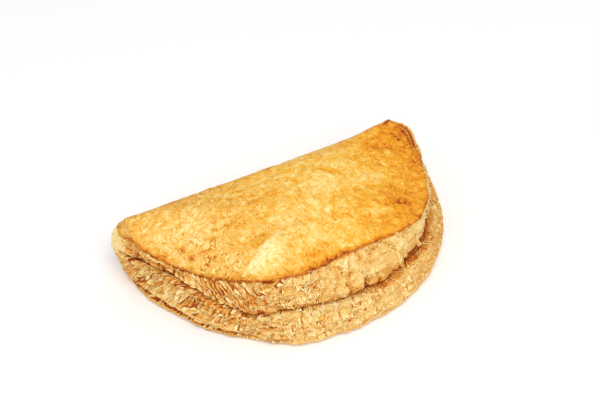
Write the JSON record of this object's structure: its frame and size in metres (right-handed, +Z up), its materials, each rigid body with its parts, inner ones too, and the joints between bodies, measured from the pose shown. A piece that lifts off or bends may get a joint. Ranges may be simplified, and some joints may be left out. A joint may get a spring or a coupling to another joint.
{
  "type": "cheese pie",
  "caption": "Baked half-moon puff pastry folded over a cheese filling, with a flat base to rest on.",
  "frame": {"origin": "middle of the pie's box, on the flat underside it rests on", "axes": "+X along the fold from the left tip to the turned-up right tip, -Y towards the cut edge, +Z up"},
  "size_m": [0.147, 0.0823, 0.0378],
  "materials": {
    "pastry": "baked puff pastry, golden and slightly glazed on the lid, paler and flaky on the cut edge"
  },
  "bodies": {
    "root": {"pastry": "pastry"}
  },
  "joints": []
}
